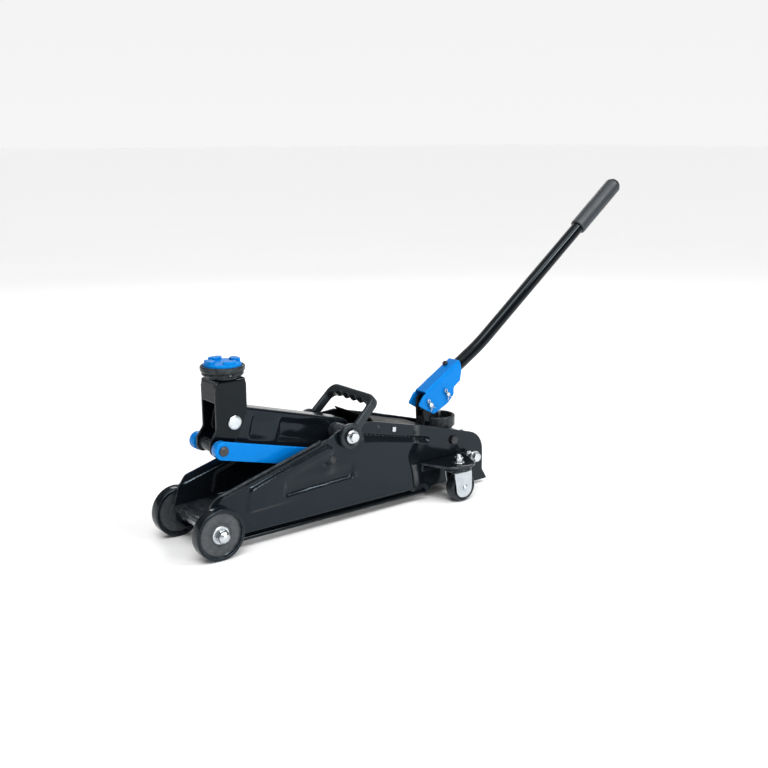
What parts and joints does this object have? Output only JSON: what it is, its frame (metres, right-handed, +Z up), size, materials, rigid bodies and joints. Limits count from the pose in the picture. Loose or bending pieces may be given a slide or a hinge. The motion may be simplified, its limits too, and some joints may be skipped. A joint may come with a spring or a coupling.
{
  "type": "hydraulic floor jack",
  "caption": "Compact trolley jack: pressed side plates, parallelogram lift arm with a lugged saddle, hydraulic unit, swivelling pump handle, front rollers and rear casters",
  "frame": {"origin": "middle of the footprint on the floor, under the jack at rest with its arm partly raised and its handle up", "axes": "+X from the front axle towards the handle, +Y to the right of someone standing at the handle, +Z up"},
  "size_m": [0.8053, 0.1858, 0.4357],
  "materials": {
    "black_paint": "gloss black paint",
    "blue_paint": "gloss blue paint",
    "zinc": "bright zinc plating",
    "steel": "bare machined steel",
    "dark_steel": "blackened steel",
    "wheel_iron": "painted cast iron, satin",
    "grip_rubber": "dark grey rubber, satin",
    "black_plastic": "black plastic, matt",
    "blue_pad": "blue rubber",
    "plug_rubber": "black rubber"
  },
  "bodies": {
    "frame": {"side_plate_left": "black_paint", "side_plate_right": "black_paint", "front_cross_plate": "black_paint", "rear_cross_plate": "black_paint", "cover_plate": "black_paint", "front_axle": "steel", "axle_washer_left": "zinc", "axle_washer_right": "zinc", "axle_nut_left": "zinc", "axle_nut_right": "zinc", "pivot_shaft": "steel", "pivot_bolt_left": "zinc", "pivot_bolt_right": "zinc", "link_rear_pin_left": "dark_steel", "link_rear_pin_right": "dark_steel", "oil_cylinder": "black_paint", "pump_block": "black_paint", "filler_plug": "plug_rubber", "trunnion_bolt_left": "dark_steel", "trunnion_bolt_right": "dark_steel", "caster_bracket_left": "black_paint", "caster_bracket_right": "black_paint", "bracket_bolt_left": "zinc", "bracket_bolt_right": "zinc", "caster_race_left": "black_paint", "caster_race_right": "black_paint"},
    "valve": {"release_valve": "zinc"},
    "ram_rod": {"ram": "steel", "ram_head": "dark_steel", "return_spring_left": "steel", "return_spring_right": "steel"},
    "arm": {"lift_arm": "black_paint", "ram_pin": "steel"},
    "bracket": {"saddle_bracket": "black_paint", "saddle_pin": "zinc", "link_front_pin": "dark_steel", "link_spacer": "black_paint"},
    "link_bar_left": {"link_left": "blue_paint"},
    "link_bar_right": {"link_right": "blue_paint"},
    "saddle": {"saddle_cup": "black_paint", "saddle_pad": "blue_pad"},
    "bail": {"carry_handle": "black_plastic"},
    "swivel": {"swivel_head": "black_paint"},
    "plunger": {"pump_plunger": "zinc"},
    "pump_handle": {"handle_socket": "blue_paint", "handle_lock_screw": "dark_steel", "socket_pin": "zinc", "socket_pin_cotter": "zinc", "plunger_pin": "zinc", "plunger_pin_cotter": "zinc", "handle_tube": "black_paint", "handle_grip": "grip_rubber"},
    "front_wheel_body_left": {"front_wheel_left": "wheel_iron"},
    "caster_fork_body_left": {"caster_fork_left": "zinc", "caster_axle_left": "zinc"},
    "caster_wheel_body_left": {"caster_wheel_left": "black_plastic"},
    "front_wheel_body_right": {"front_wheel_right": "wheel_iron"},
    "caster_fork_body_right": {"caster_fork_right": "zinc", "caster_axle_right": "zinc"},
    "caster_wheel_body_right": {"caster_wheel_right": "black_plastic"}
  },
  "joints": [
    {"name": "lift", "type": "hinge", "parent": "frame", "child": "arm", "pos_m": [-0.16863, 0, 0.1189], "axis": [0, 1, 0], "range_deg": [-25, 40]},
    {"name": "bracket_level", "type": "hinge", "parent": "arm", "child": "bracket", "pos_m": [-0.32352, 0, 0.15695], "axis": [0, 1, 0], "range_deg": [-40, 40]},
    {"name": "link_swing_left", "type": "hinge", "parent": "frame", "child": "link_bar_left", "pos_m": [-0.19373, -0.0315, 0.0901], "axis": [0, 1, 0], "range_deg": [-40, 40]},
    {"name": "link_swing_right", "type": "hinge", "parent": "frame", "child": "link_bar_right", "pos_m": [-0.19373, 0.0315, 0.0901], "axis": [0, 1, 0], "range_deg": [-40, 40]},
    {"name": "ram_travel", "type": "slide", "parent": "frame", "child": "ram_rod", "axis": [-1, 0, 0], "range_m": [-0.021, 0.033], "deforming": ["return_spring_left", "return_spring_right"]},
    {"name": "saddle_turn", "type": "hinge", "parent": "bracket", "child": "saddle", "pos_m": [-0.32743, 0, 0.212], "axis": [0, 0, 1], "continuous": true},
    {"name": "carry_handle_fold", "type": "hinge", "parent": "frame", "child": "bail", "pos_m": [-0.16863, 0, 0.1189], "axis": [0, 1, 0], "range_deg": [-35, 20]},
    {"name": "release_valve_turn", "type": "hinge", "parent": "frame", "child": "valve", "pos_m": [0.07707, 0, 0.058], "axis": [1, 0, 0], "range_deg": [0, 180]},
    {"name": "pump_swivel", "type": "hinge", "parent": "frame", "child": "swivel", "pos_m": [0.02557, 0, 0.099], "axis": [0, 0, 1], "continuous": true},
    {"name": "pump_stroke", "type": "hinge", "parent": "swivel", "child": "pump_handle", "pos_m": [-0.00143, 0, 0.1275], "axis": [0, -1, 0], "range_deg": [-30, 32]},
    {"name": "plunger_stroke", "type": "slide", "parent": "swivel", "child": "plunger", "axis": [0, 0, 1], "range_m": [-0.0165, 0.0175]},
    {"name": "front_wheel_roll_left", "type": "hinge", "parent": "frame", "child": "front_wheel_body_left", "pos_m": [-0.37093, -0.0533, 0.0328], "axis": [0, 1, 0], "continuous": true},
    {"name": "caster_swivel_left", "type": "hinge", "parent": "frame", "child": "caster_fork_body_left", "pos_m": [0.00007, -0.074, 0.048], "axis": [0, 0, 1], "continuous": true},
    {"name": "caster_roll_left", "type": "hinge", "parent": "caster_fork_body_left", "child": "caster_wheel_body_left", "pos_m": [0.00407, -0.074, 0.0212], "axis": [0, 1, 0], "continuous": true},
    {"name": "front_wheel_roll_right", "type": "hinge", "parent": "frame", "child": "front_wheel_body_right", "pos_m": [-0.37093, 0.0533, 0.0328], "axis": [0, 1, 0], "continuous": true},
    {"name": "caster_swivel_right", "type": "hinge", "parent": "frame", "child": "caster_fork_body_right", "pos_m": [0.00007, 0.074, 0.048], "axis": [0, 0, 1], "continuous": true},
    {"name": "caster_roll_right", "type": "hinge", "parent": "caster_fork_body_right", "child": "caster_wheel_body_right", "pos_m": [0.00407, 0.074, 0.0212], "axis": [0, 1, 0], "continuous": true}
  ],
  "couplings": [
    {"joint": "bracket_level", "follows": "lift", "ratio": -1},
    {"joint": "link_swing_left", "follows": "lift", "ratio": 1},
    {"joint": "link_swing_right", "follows": "lift", "ratio": 1},
    {"joint": "ram_travel", "follows": "lift", "m_per_rad": 0.04613},
    {"joint": "plunger_stroke", "follows": "pump_stroke", "m_per_rad": 0.03027}
  ]
}
